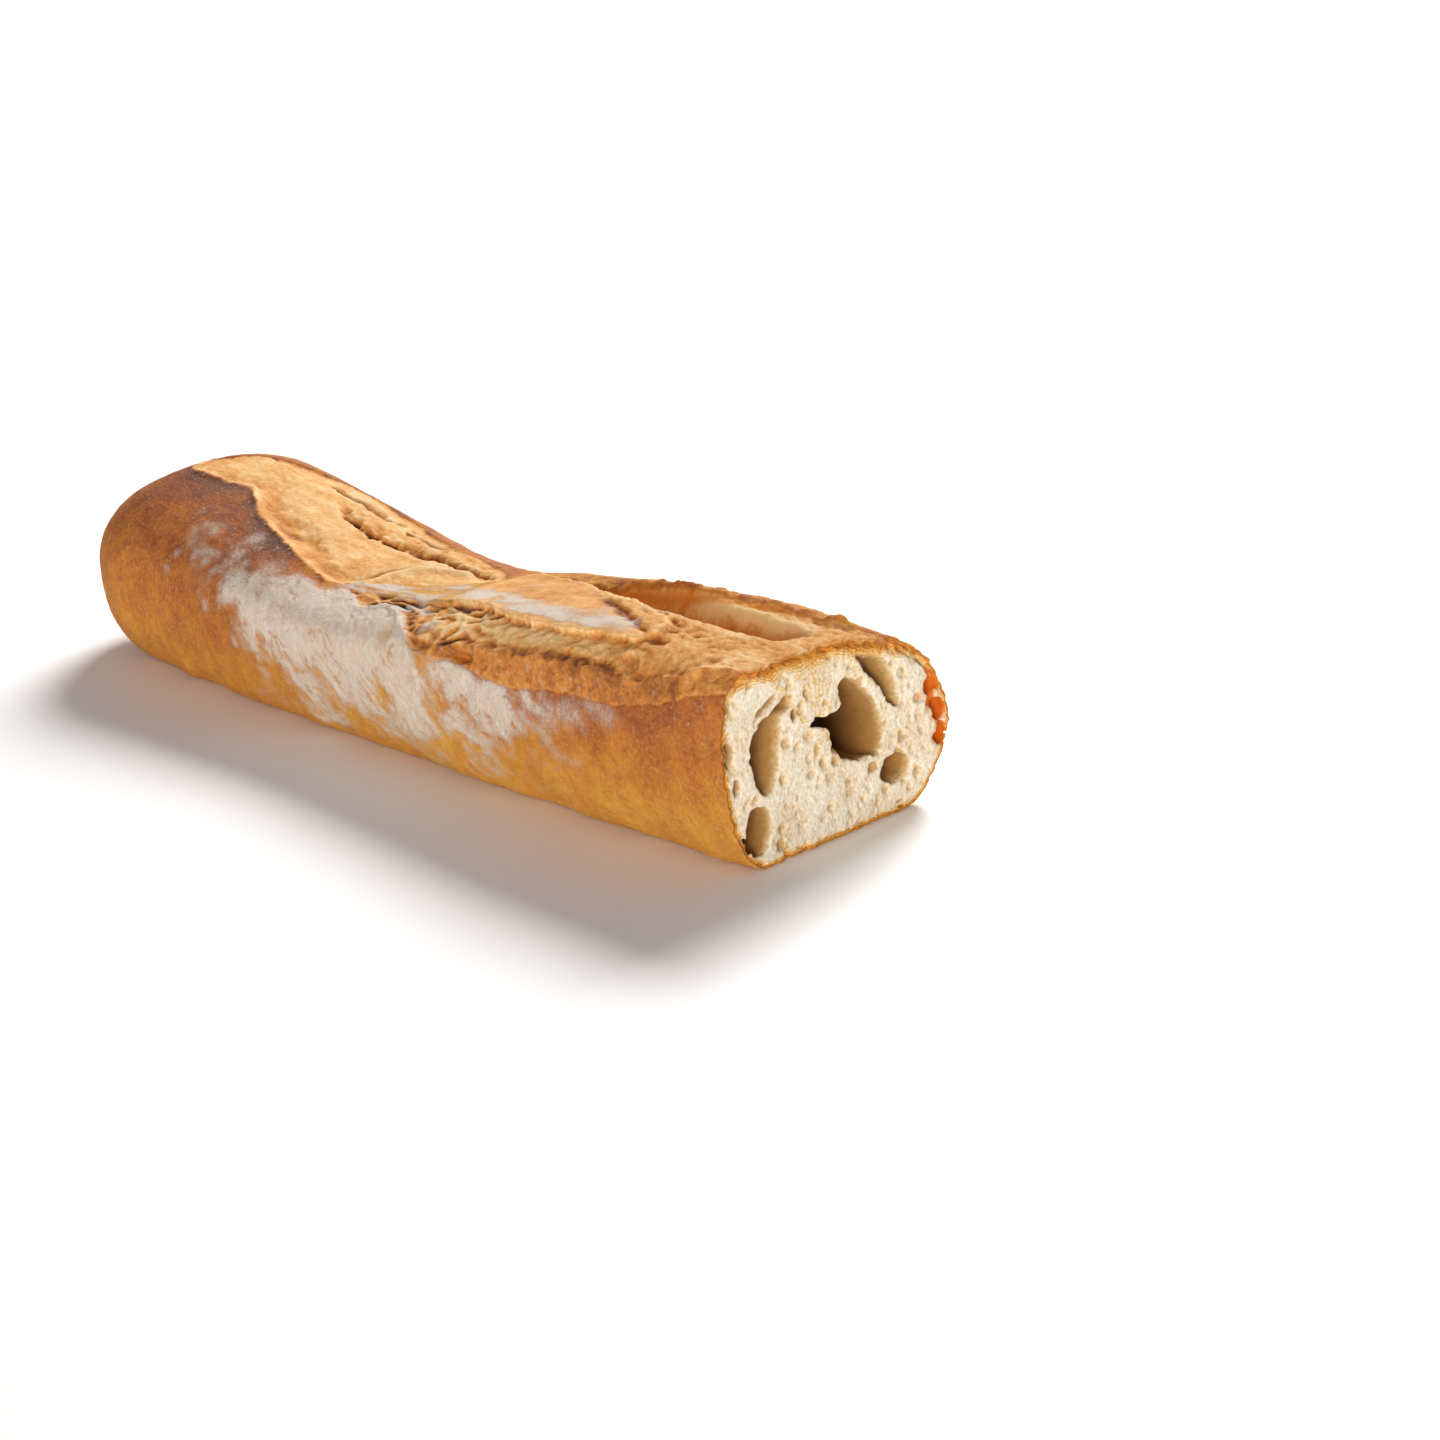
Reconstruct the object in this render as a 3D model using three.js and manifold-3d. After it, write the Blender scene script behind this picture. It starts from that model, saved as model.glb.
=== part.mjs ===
// A cut baguette: one baked loaf with a rounded far end, two opened scores on its crown and an
// open crumb where slices were taken off. Millimetres, +Z up. +X runs along the loaf to the cut
// face, and the origin is the middle of its resting face.
import * as THREE from 'three';
import { mergeVertices } from 'three/addons/utils/BufferGeometryUtils.js';
import Module from 'manifold-3d';

// Driving dimensions
const LENGTH = 230; // from the cut face to the tip of the rounded end
const END_LENGTH = 32; // the last stretch, over which the end rounds off
const END_POWER = 2.15; // how blunt that end is: 2 is an ellipse, more is blunter
const END_AXIS = 0.36; // height of the tip, as a share of the loaf's height there

// Profiles along the loaf: [distance from the cut face, value]
const CROWN_HEIGHT = [
  [0, 47.5], [28, 48.5], [56, 46], [84, 42], [112, 36.5],
  [135, 35.5], [160, 39.5], [182, 44.5], [198, 47.5],
];
const CROWN_SIDE = [[0, -17], [60, -13], [120, -6], [198, 3]]; // where the crown's top lies across
const FRONT_SIDE = [[0, -37], [40, -38], [90, -38], [130, -36.5], [170, -35], [198, -34]];
const BACK_SIDE = [[0, 38], [30, 38], [60, 37], [90, 34.5], [125, 32.5], [160, 36], [198, 36.5]];
const FRONT_BELLY = [[0, 33], [60, 29], [120, 26], [198, 24]]; // height of the widest point
const BACK_BELLY = [[0, 16], [100, 19.5], [198, 23.5]];
const FRONT_FOOT = [[0, -23], [40, -24.5], [110, -25], [150, -24], [198, -21.5]];
const BACK_FOOT = [[0, 25], [100, 23], [198, 23]];
const FRONT_SHOULDER = [[0, 4], [30, 3.4], [90, 3], [198, 2.4]]; // 2 is round, more is squarer
const BACK_SHOULDER = [[0, 2.35], [198, 2.25]];
const SKIRT_POWER = 1.75; // the same for the lower quarters, between belly and foot

// Scores: route along the crown as [distance from the cut face, place across], in millimetres
const SCORES = [
  // the near score, under its back ear and along its front lip
  { depth: 5, reach: 9, route: [[74, 0], [56, -3], [36, -6], [18, -8]] },
  { depth: 2, reach: 7, route: [[112, -27], [90, -31], [60, -31], [34, -31]] },
  // the far score, along its crest
  { depth: 2.6, reach: 8, route: [[188, 0], [174, -3], [160, -10], [146, -15]] },
];

// Bubbles that the knife opened: middle across and up, half sizes, depth, and lean in degrees
const BUBBLES = [
  { across: -22, up: 28.5, halfWidth: 5.8, halfHeight: 12, depth: 9, lean: -8 },
  { across: 3.5, up: 28.5, halfWidth: 11, halfHeight: 7, depth: 8, lean: -12 },
  { across: 9.5, up: 35, halfWidth: 4, halfHeight: 6, depth: 7, lean: 30 },
  { across: 14, up: 16, halfWidth: 4.2, halfHeight: 3, depth: 5, lean: 0 },
  { across: -26.5, up: 9.5, halfWidth: 3.2, halfHeight: 4.8, depth: 5, lean: 35 },
];

// Mesh steps
const RING_STEP = 5.2; // between sections along the body
const END_RINGS = 9;
const FOOT_STEPS = 4;
const QUARTER_STEPS = { skirt: 8, back: 13, front: 12 };

// Value of a profile at a distance, on a smooth curve through its points
function along(profile, distance) {
  const last = profile.length - 1;
  const s = THREE.MathUtils.clamp(distance, profile[0][0], profile[last][0]);
  let i = 0;
  while (i < last - 1 && s > profile[i + 1][0]) i += 1;
  const slope = (a, b) => (profile[b][1] - profile[a][1]) / (profile[b][0] - profile[a][0]);
  const [s0, v0] = profile[i];
  const [s1, v1] = profile[i + 1];
  const span = s1 - s0;
  const t = (s - s0) / span;
  const m0 = slope(Math.max(i - 1, 0), i + 1) * span;
  const m1 = slope(i, Math.min(i + 2, last)) * span;
  const rise = t * t * (3 - 2 * t);
  return v0 + (v1 - v0) * rise + m0 * t * (1 - t) ** 2 - m1 * t * t * (1 - t);
}

// Points of a quarter of a superellipse, from its side point (turn 0) to its top or bottom (turn 1)
function quarter(centreY, centreZ, halfY, halfZ, power, steps) {
  const points = [];
  for (let i = 0; i <= steps; i += 1) {
    const turn = (Math.PI / 2) * (i / steps);
    const y = centreY + halfY * Math.cos(turn) ** (2 / power);
    const z = centreZ + halfZ * Math.sin(turn) ** (2 / power);
    points.push([y, z]);
  }
  return points;
}

// How far the scores lower the crown at a place
function scoreDepth(distance, across) {
  const place = new THREE.Vector3(distance, across, 0);
  const nearest = new THREE.Vector3();
  let depth = 0;
  for (const score of SCORES) {
    const corners = score.route.map(([s, y]) => new THREE.Vector3(s, y, 0));
    let gap = Infinity;
    for (let i = 0; i + 1 < corners.length; i += 1) {
      new THREE.Line3(corners[i], corners[i + 1]).closestPointToPoint(place, true, nearest);
      gap = Math.min(gap, nearest.distanceTo(place));
    }
    const share = Math.max(0, 1 - (gap / score.reach) ** 2);
    depth = Math.max(depth, score.depth * share * share);
  }
  return depth;
}

// One closed section, counter-clockwise seen from the cut face, starting at the front foot
function section(distance) {
  const s = Math.min(distance, LENGTH - END_LENGTH);
  const height = along(CROWN_HEIGHT, s);
  const crown = along(CROWN_SIDE, s);
  const front = along(FRONT_SIDE, s);
  const back = along(BACK_SIDE, s);
  const frontBelly = along(FRONT_BELLY, s);
  const backBelly = along(BACK_BELLY, s);
  const frontFoot = along(FRONT_FOOT, s);
  const backFoot = along(BACK_FOOT, s);
  const { skirt, back: backSteps, front: frontSteps } = QUARTER_STEPS;

  const foot = [];
  for (let i = 0; i < FOOT_STEPS; i += 1) {
    foot.push([THREE.MathUtils.lerp(frontFoot, backFoot, i / FOOT_STEPS), 0]);
  }
  const backSkirt = quarter(backFoot, backBelly, back - backFoot, -backBelly, SKIRT_POWER, skirt);
  const backPower = along(BACK_SHOULDER, s);
  const backCrown = quarter(crown, backBelly, back - crown, height - backBelly, backPower, backSteps);
  const frontPower = along(FRONT_SHOULDER, s);
  const frontCrown = quarter(crown, frontBelly, front - crown, height - frontBelly, frontPower, frontSteps);
  const frontSkirt = quarter(frontFoot, frontBelly, front - frontFoot, -frontBelly, SKIRT_POWER, skirt);
  const ring = [
    ...foot,
    ...backSkirt.reverse(),
    ...backCrown.slice(1),
    ...frontCrown.reverse().slice(1),
    ...frontSkirt.slice(1, -1),
  ];

  // The scores sink the crown only, and fade out down its sides
  const belly = Math.max(frontBelly, backBelly);
  const scored = ring.map(([y, z]) => {
    const upward = THREE.MathUtils.smoothstep(z, belly, height);
    return [y, z - scoreDepth(distance, y) * upward];
  });

  // The rounded end draws every point in towards its axis
  const past = Math.max(0, distance - s) / END_LENGTH;
  const draw = (1 - past ** END_POWER) ** (1 / END_POWER);
  const axisY = (front + back) / 2;
  const axisZ = height * END_AXIS;
  return scored.map(([y, z]) => [axisY + (y - axisY) * draw, axisZ + (z - axisZ) * draw]);
}

// The loaf's closed skin: rings joined by triangles, a flat cut face and a tip
function loafGeometry() {
  const body = LENGTH - END_LENGTH;
  const bodyRings = Math.round(body / RING_STEP);
  const distances = [];
  for (let i = 0; i < bodyRings; i += 1) distances.push((body * i) / bodyRings);
  for (let i = 0; i < END_RINGS; i += 1) {
    distances.push(body + END_LENGTH * Math.sin((Math.PI / 2) * (i / END_RINGS)));
  }
  const rings = distances.map(section);
  const round = rings[0].length;
  const points = rings.flatMap((ring, i) => ring.map(([y, z]) => [-distances[i], y, z]));

  const cutCentre = points.push([0, 0, along(CROWN_HEIGHT, 0) / 2]) - 1;
  const tipY = (along(FRONT_SIDE, body) + along(BACK_SIDE, body)) / 2;
  const tip = points.push([-LENGTH, tipY, along(CROWN_HEIGHT, body) * END_AXIS]) - 1;

  const faces = [];
  for (let j = 0; j < round; j += 1) {
    const next = (j + 1) % round;
    faces.push([cutCentre, j, next]);
    for (let i = 0; i + 1 < rings.length; i += 1) {
      const here = i * round;
      const there = here + round;
      faces.push([here + j, there + j, there + next], [here + j, there + next, here + next]);
    }
    const lastRing = (rings.length - 1) * round;
    faces.push([lastRing + j, tip, lastRing + next]);
  }

  const geometry = new THREE.BufferGeometry();
  geometry.setAttribute('position', new THREE.Float32BufferAttribute(points.flat(), 3));
  geometry.setIndex(faces.flat());
  return geometry;
}

// The part of one bubble that the knife opened, as a smooth pit into the cut face
function bubbleGeometry(bubble) {
  const geometry = new THREE.SphereGeometry(1, 14, 10);
  geometry.scale(bubble.depth, bubble.halfWidth, bubble.halfHeight);
  geometry.rotateX(THREE.MathUtils.degToRad(bubble.lean));
  geometry.translate(0, bubble.across, bubble.up);
  return geometry;
}

const wasm = await Module();
wasm.setup();

function toSolid(geometry) {
  const bare = geometry.clone();
  bare.deleteAttribute('normal');
  bare.deleteAttribute('uv');
  const merged = mergeVertices(bare);
  return new wasm.Manifold(new wasm.Mesh({
    numProp: 3,
    vertProperties: new Float32Array(merged.attributes.position.array),
    triVerts: new Uint32Array(merged.index.array),
  }));
}

function toGeometry(solid) {
  const { vertProperties, triVerts } = solid.getMesh();
  const geometry = new THREE.BufferGeometry();
  geometry.setAttribute('position', new THREE.BufferAttribute(vertProperties, 3));
  geometry.setIndex(new THREE.BufferAttribute(triVerts, 1));
  return geometry;
}

let solid = toSolid(loafGeometry());
for (const bubble of BUBBLES) solid = solid.subtract(toSolid(bubbleGeometry(bubble)));

// The origin goes to the middle of the loaf's box, at the height of its resting face
const loafShape = toGeometry(solid);
loafShape.computeBoundingBox();
const middle = loafShape.boundingBox.getCenter(new THREE.Vector3());
loafShape.translate(-middle.x, -middle.y, -loafShape.boundingBox.min.z);
loafShape.computeVertexNormals();

const crust = new THREE.MeshStandardMaterial({ color: 0xc98a45, roughness: 0.75, metalness: 0 });
const loaf = new THREE.Mesh(loafShape, crust);
loaf.name = 'loaf';

const baguette = new THREE.Group();
baguette.add(loaf);

export default baguette;
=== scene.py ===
import itertools
import math

import bpy
import numpy as np
import openvdb
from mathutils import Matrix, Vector


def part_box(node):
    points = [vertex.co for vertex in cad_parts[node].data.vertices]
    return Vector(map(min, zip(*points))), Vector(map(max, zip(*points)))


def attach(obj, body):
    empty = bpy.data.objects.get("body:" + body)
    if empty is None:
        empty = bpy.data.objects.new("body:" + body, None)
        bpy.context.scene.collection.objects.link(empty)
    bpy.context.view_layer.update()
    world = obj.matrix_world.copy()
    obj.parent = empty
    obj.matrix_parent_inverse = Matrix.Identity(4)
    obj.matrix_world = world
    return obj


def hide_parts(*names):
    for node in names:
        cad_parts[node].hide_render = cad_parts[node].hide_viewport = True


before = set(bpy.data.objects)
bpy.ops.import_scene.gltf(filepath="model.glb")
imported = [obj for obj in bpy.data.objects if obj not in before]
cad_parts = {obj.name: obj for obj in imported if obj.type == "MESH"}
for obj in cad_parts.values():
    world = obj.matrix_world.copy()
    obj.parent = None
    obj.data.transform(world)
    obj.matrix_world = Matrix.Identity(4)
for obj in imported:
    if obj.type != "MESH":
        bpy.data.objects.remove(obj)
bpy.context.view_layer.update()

# ---------------------------------------------------------------------------------------------
# The loaf: one hand-shaped piece of wheat dough, floured, scored twice with a blade, baked on an
# oven floor and then cut across. The crust and the crumb are grown here as one closed body:
# a plain dough form, a relief of what the oven did to its skin, and the bubbles the knife opened.
# ---------------------------------------------------------------------------------------------

MM = 0.001
low_corner, high_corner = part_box("loaf")
CUT_X = high_corner[0] / MM            # the cut face, in millimetres
LENGTH = (high_corner[0] - low_corner[0]) / MM
END_LENGTH = 32                        # the last stretch rounds off over this
END_POWER = 2.15
END_AXIS = 0.36

# The dough form: [distance from the cut, value] in millimetres
CROWN_HEIGHT = [(0, 47.5), (28, 48.5), (56, 46), (84, 42), (112, 36.5), (135, 35.5), (160, 39.5),
                (182, 44.5), (198, 47.5)]
CROWN_SIDE = [(0, -17), (60, -13), (120, -6), (198, 3)]
FRONT_SIDE = [(0, -37), (40, -38), (90, -38), (130, -36.5), (170, -35), (198, -34)]
BACK_SIDE = [(0, 38), (30, 38), (60, 37), (90, 34.5), (125, 32.5), (160, 36), (198, 36.5)]
FRONT_BELLY = [(0, 33), (60, 29), (120, 26), (198, 24)]
BACK_BELLY = [(0, 16), (100, 19.5), (198, 23.5)]
FRONT_FOOT = [(0, -23), (40, -24.5), (110, -25), (150, -24), (198, -21.5)]
BACK_FOOT = [(0, 25), (100, 23), (198, 23)]
FRONT_SHOULDER = [(0, 4), (30, 3.4), (90, 3), (198, 2.4)]
BACK_SHOULDER = [(0, 2.35), (198, 2.25)]
SKIRT_POWER = 1.75


def along(profile, distance):
    """Value of a profile at each distance, on a smooth curve through its points."""
    points = np.array(profile, float)
    place, value = points[:, 0], points[:, 1]
    last = len(points) - 1
    s = np.clip(distance, place[0], place[-1])
    i = np.clip(np.searchsorted(place, s) - 1, 0, last - 1)
    before = np.maximum(i - 1, 0)
    after = np.minimum(i + 2, last)
    span = place[i + 1] - place[i]
    t = (s - place[i]) / span
    leave = (value[i + 1] - value[before]) / (place[i + 1] - place[before]) * span
    arrive = (value[after] - value[i]) / (place[after] - place[i]) * span
    rise = t * t * (3 - 2 * t)
    curve = value[i] + (value[i + 1] - value[i]) * rise
    return curve + leave * t * (1 - t) ** 2 - arrive * t * t * (1 - t)


def quarter(centre_y, centre_z, half_y, half_z, power, turn):
    """A quarter of a superellipse, from its side point (turn 0) to its top or bottom (turn 1)."""
    angle = turn * math.pi / 2
    y = centre_y + half_y * np.cos(angle).clip(0) ** (2 / power)
    z = centre_z + half_z * np.sin(angle).clip(0) ** (2 / power)
    return np.stack([y, z], -1)


def dough_rings(distance, steps=40):
    """Closed sections (y, z) from the front foot up the front, over the crown and round the back."""
    s = np.minimum(distance, LENGTH - END_LENGTH)[:, None]
    height, crown = along(CROWN_HEIGHT, s), along(CROWN_SIDE, s)
    front, back = along(FRONT_SIDE, s), along(BACK_SIDE, s)
    front_belly, back_belly = along(FRONT_BELLY, s), along(BACK_BELLY, s)
    front_foot, back_foot = along(FRONT_FOOT, s), along(BACK_FOOT, s)
    up = np.linspace(0, 1, steps + 1)[None, :]
    down = up[:, ::-1]
    front_power, back_power = along(FRONT_SHOULDER, s), along(BACK_SHOULDER, s)
    foot = back_foot + (front_foot - back_foot) * up
    ring = np.concatenate([
        quarter(front_foot, front_belly, front - front_foot, -front_belly, SKIRT_POWER, down),
        quarter(crown, front_belly, front - crown, height - front_belly, front_power, up)[:, 1:],
        quarter(crown, back_belly, back - crown, height - back_belly, back_power, down)[:, 1:],
        quarter(back_foot, back_belly, back - back_foot, -back_belly, SKIRT_POWER, up)[:, 1:],
        np.stack([foot, np.zeros_like(foot)], -1)[:, 1:-1],
    ], axis=1)
    past = np.clip((distance[:, None] - s) / END_LENGTH, 0, 1)
    draw = (1 - past ** END_POWER).clip(0) ** (1 / END_POWER)
    axis = np.stack([(front + back) / 2, height * END_AXIS], -1)
    return axis + (ring - axis) * draw[..., None], axis[:, 0]


# The skin map: rows along the loaf, columns round it. Each cell knows its distance from the cut
# and its girth, the way round the section in millimetres from the front foot, up over the crown.
ROW_STEP = 0.5
COLUMNS = 460
PAST_CUT = 6                           # the dough form runs on past the cut by this
row_distance = np.arange(-PAST_CUT, LENGTH, ROW_STEP)
rings, ring_axis = dough_rings(row_distance)
closed = np.concatenate([rings, rings[:, :1]], axis=1)
strides = np.linalg.norm(np.diff(closed, axis=1), axis=2)
walked = np.concatenate([np.zeros((len(rings), 1)), np.cumsum(strides, axis=1)], axis=1)
share = np.arange(COLUMNS) / COLUMNS
skin = np.zeros((len(rings), COLUMNS, 3))
TURNS = 720
turn_share = np.zeros((len(rings), TURNS + 1))
full_turns = np.linspace(0, 2 * math.pi, TURNS + 1)
start_angle = np.zeros(len(rings))
for row, ring in enumerate(closed):
    way = share * walked[row, -1]
    skin[row, :, 0] = CUT_X - row_distance[row]
    skin[row, :, 1] = np.interp(way, walked[row], ring[:, 0])
    skin[row, :, 2] = np.interp(way, walked[row], ring[:, 1])
    spoke = ring - ring_axis[row]
    angle = np.unwrap(np.arctan2(spoke[:, 1], spoke[:, 0]))
    start_angle[row] = angle[0]
    turn_share[row] = np.interp(full_turns, angle[0] - angle, walked[row] / walked[row, -1])
distance = np.repeat(row_distance[:, None], COLUMNS, axis=1)
girth = share[None, :] * walked[:, -1:]
start_angle = np.unwrap(start_angle)


def skin_place(x, y, z):
    """Row and column of the skin map for points in millimetres."""
    row = np.clip((CUT_X - x + PAST_CUT) / ROW_STEP, 0, len(rings) - 1.001)
    low = row.astype(np.int32)
    part = (row - low).astype(np.float32)
    axis_y = ring_axis[low, 0] * (1 - part) + ring_axis[low + 1, 0] * part
    axis_z = ring_axis[low, 1] * (1 - part) + ring_axis[low + 1, 1] * part
    start = start_angle[low] * (1 - part) + start_angle[low + 1] * part
    turned = np.mod(start - np.arctan2(z - axis_z, y - axis_y), 2 * math.pi)
    column = turned * (TURNS / (2 * math.pi))
    left = np.minimum(column.astype(np.int32), TURNS - 1)
    over = (column - left).astype(np.float32)
    here = turn_share[low, left] * (1 - over) + turn_share[low, left + 1] * over
    there = turn_share[low + 1, left] * (1 - over) + turn_share[low + 1, left + 1] * over
    return row, (here * (1 - part) + there * part) * COLUMNS


def read_skin(layer, row, column):
    """Value of a layer of the skin map between its cells; columns run round."""
    low = row.astype(np.int32)
    part = (row - low).astype(np.float32)
    left = column.astype(np.int32) % COLUMNS
    right = (left + 1) % COLUMNS
    over = (column - np.floor(column)).astype(np.float32)
    here = layer[low, left] * (1 - over) + layer[low, right] * over
    there = layer[low + 1, left] * (1 - over) + layer[low + 1, right] * over
    return here * (1 - part) + there * part


gradients = np.random.default_rng(11).normal(size=(256, 3)).astype(np.float32)
gradients /= np.linalg.norm(gradients, axis=1, keepdims=True)


def noise(points, size, seed=0):
    """Smooth noise, about -1 to 1, with swells of one size in millimetres."""
    cell = points / size
    low = np.floor(cell).astype(np.int64)
    part = (cell - low).astype(np.float32)
    fade = part ** 3 * (part * (part * 6 - 15) + 10)
    total = np.zeros(points.shape[:-1], np.float32)
    for corner in itertools.product((0, 1), repeat=3):
        at = low + corner
        # Large primes scramble the corner's place into the number of a gradient
        key = at[..., 0] * 73856093 ^ at[..., 1] * 19349663 ^ at[..., 2] * 83492791 ^ (seed + 1) * 9781
        slope = gradients[(key ^ (key >> 9)) & 255]
        lean = (slope * (part - np.array(corner, np.float32))).sum(-1)
        weight = np.where(np.array(corner, bool), fade, 1 - fade).prod(-1)
        total += lean * weight
    return total * 1.7                   # a gradient alone reaches only about 0.6


def layered(points, size, seed=0, layers=4, keep=0.5):
    """Noise with finer and weaker layers on top, as torn dough and mottled crust have."""
    total, strength, most = 0, 1.0, 0.0
    for layer in range(layers):
        total = total + strength * noise(points, size / 2 ** layer, seed + 17 * layer)
        most += strength
        strength *= keep
    return total / most


def skin_noise(size, seed, layers=4, keep=0.5, squash=(1, 1, 1)):
    """Layered noise over the skin map, drawn out where an axis is squashed."""
    return layered(skin * squash, size, seed, layers, keep)


def ease(value, start, end):
    """0 before start, 1 after end, smooth between."""
    t = np.clip((value - start) / (end - start), 0, 1)
    return t * t * (3 - 2 * t)


def ridged(points, size, seed=0, layers=3):
    """Noise with sharp creases, about 0 to 1, as torn and stretched dough has."""
    total, strength, most = 0, 1.0, 0.0
    for layer in range(layers):
        total = total + strength * (1 - 2.2 * np.abs(noise(points, size / 2 ** layer, seed + 13 * layer)))
        most += strength
        strength *= 0.55
    return np.clip(total / most, -1, 1)


def burst_cells(places, size, seed):
    """Burst bubbles scattered over a surface: 0 on the walls between them, up to about 1 inside,
    and a chance value for each bubble."""
    scatter = np.random.default_rng(seed).random((61, 61, 3))
    cell = places / size
    base = np.floor(cell).astype(int)
    nearest = np.full(cell.shape[:-1], 9.0)
    second = nearest.copy()
    draw = np.zeros_like(nearest)
    for step in itertools.product((-1, 0, 1), repeat=2):
        at = base + step
        drawn = scatter[at[..., 0] % len(scatter), at[..., 1] % len(scatter)]
        gap = np.linalg.norm(at + drawn[..., :2] - cell, axis=-1)
        second = np.minimum(second, np.maximum(nearest, gap))
        draw = np.where(gap < nearest, drawn[..., 2], draw)
        nearest = np.minimum(nearest, gap)
    return second - nearest, draw


def hump(value, width):
    """1 at zero, falling away on both sides over the width."""
    return np.exp(-(value / width) ** 2)


def between(value, start, full, fade, end):
    """1 from full to fade, 0 before start and after end, smooth between."""
    return ease(value, start, full) * ease(value, end, fade)


# What the blade and the oven did. Edges are [distance from the cut, girth] in millimetres.
far_front = along([(98, 75), (111, 65), (123, 58.5), (134, 50), (140, 49.8), (152, 53.6), (165, 58.2),
                   (172, 61.4), (179, 66), (184, 70), (195, 68), (204, 68), (210, 74)], distance)
far_back = along([(98, 75), (106, 79), (118, 86), (130, 90), (144, 93), (157, 96), (170, 99),
                  (181, 99), (190, 95), (198, 88), (205, 81), (210, 74)], distance)
near_lip = along([(0, 48), (6, 46), (12, 44), (20, 41), (27, 39.2), (36, 38), (46, 37.7), (52, 36.8),
                  (64, 35), (77, 36.6), (88, 36.4), (93, 36.8), (96.4, 39.4), (104.7, 44.2),
                  (111.8, 47.3), (115, 45.5), (119.7, 43.6), (128.5, 47.4), (134, 50)], distance)
near_ridge = along([(0, 56), (6.4, 53.1), (11.3, 50.4), (17.8, 47.2), (26, 45), (35, 45.3), (42.5, 45),
                    (49.6, 44.7), (56, 43.8), (61.5, 42.8), (76, 42), (84, 40), (93, 37)], distance)
tongue_front = along([(24, 57), (32, 54.1), (40.6, 53.4), (52.8, 52.2), (62.7, 51.8), (70, 52), (81, 54),
                      (92, 54), (100, 52.6), (110, 52), (120, 50.6), (129, 48.6)], distance)
tongue_back = along([(24, 60), (32, 66.5), (39, 68.2), (43, 70.4), (50, 72.6), (56, 72.8), (60, 73.4),
                     (66, 76), (76, 78), (88, 80), (98, 84)], distance)
ear_rim = along([(0, 104), (8, 97), (18, 93), (33, 91), (46, 90), (60, 89), (82, 84), (94, 80)],
                distance)

ragged = skin_noise(5, seed=3, keep=0.6)
fine_ragged = skin_noise(1.6, seed=5, layers=3, keep=0.6)
torn = ragged * 1.9 + fine_ragged * 0.8          # how far a torn edge strays, in millimetres

# Far score: the opened dough lies between its front crest and its back seam
OUTSIDE = -20                          # stands for a place well outside an opening
FAR_START, FAR_END = 98, 210
crest_torn = 0.9 * ragged + 1.0 * fine_ragged
in_far = np.minimum(girth - far_front + crest_torn, far_back - girth + torn * 1.2)
in_far = np.where((distance > FAR_START) & (distance < FAR_END), in_far, OUTSIDE)
far_open = ease(in_far, -0.4, 0.9)

# Near score: from its front lip to the back ear's rim, with a tongue of old skin left inside
NEAR_END = 134                         # it ends in a wedge in front of the strap of old skin
WEDGE_START = 94
TONGUE_START = 24
over_lip = girth - near_lip + torn * (0.7 + 0.5 * ease(distance, 92, 100))
in_near = np.minimum(over_lip, ear_rim - girth + torn * 0.4)
in_near = np.where(distance < NEAR_END, in_near, OUTSIDE)
in_wedge = np.minimum(in_near, tongue_front - girth + torn * 0.6)
in_near = np.where(distance > WEDGE_START, in_wedge, in_near)
in_tongue = np.minimum(girth - tongue_front + torn * 0.8, tongue_back - girth + torn * 0.5)
in_tongue = np.where(distance > TONGUE_START, in_tongue, OUTSIDE)
tongue_end = 27 + 6 * np.abs((girth - 62) / 10) ** 2
in_tongue = np.minimum(in_tongue, (distance - tongue_end + torn * 0.8) * 0.8)
tongue = ease(in_tongue, -0.4, 0.6) * ease(distance, 110, 92)
near_open = ease(in_near, -0.4, 0.9) * (1 - tongue)
ledge = near_open * ease(near_ridge - girth + ragged, -0.4, 0.8) * ease(distance, 95, 86)
near_fade = ease(distance, 132, 106)


def gap_to(route):
    """Distance over the skin to a route, in millimetres."""
    gap = np.full(distance.shape, 99.0)
    for (s0, g0), (s1, g1) in zip(route, route[1:]):
        run_s, run_g = s1 - s0, g1 - g0
        t = np.clip(((distance - s0) * run_s + (girth - g0) * run_g) / (run_s ** 2 + run_g ** 2), 0, 1)
        gap = np.minimum(gap, np.hypot(distance - s0 - t * run_s, girth - g0 - t * run_g))
    return gap


relief = np.zeros_like(distance, dtype=np.float32)

# Skin everywhere: slow swells, and shallow dents where the loaf sat in its couche
relief += 0.55 * skin_noise(26, seed=21, layers=2)
relief += 0.22 * skin_noise(7, seed=22, layers=3, squash=(1, 1, 0.5))
relief += 1.9 * skin_noise(15, seed=23, layers=2, squash=(1, 0.2, 0.2)) * ease(girth, 18, 3)

# Far score: a raised crest, a trough behind it, stretched dough, and a ragged seam at the back
crest_strength = between(distance, 126, 146, 202, 214)
crest_broken = ease(skin_noise(7, seed=39, layers=3), -0.35, 0.25)
relief += (0.35 + 0.5 * crest_broken) * hump(in_far + 0.4, 1.3) * crest_strength * (girth < far_front + 3)
trough = hump(in_far - 5.0, 3.2) * between(distance, 126, 142, 176, 196)
trough_depth = 1.3 + 2.4 * skin_noise(12, seed=34, layers=3)
front_half = girth < (far_front + far_back) / 2
relief -= trough_depth * trough * front_half
relief -= 0.6 * far_open
relief += 0.9 * far_open * skin_noise(13, seed=35, layers=2, squash=(0.7, 1, 1))
stretched = skin_noise(4.5, seed=31, keep=0.55, squash=(0.5, 1, 1))
relief += (0.32 * stretched + 0.22 * ridged(skin * (0.5, 1, 1), 5, seed=32)) * far_open
first_row = gap_to([(178, 91), (168, 91), (160, 90), (154, 89), (147, 88), (138, 87)]) + 1.3 * ragged
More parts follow.
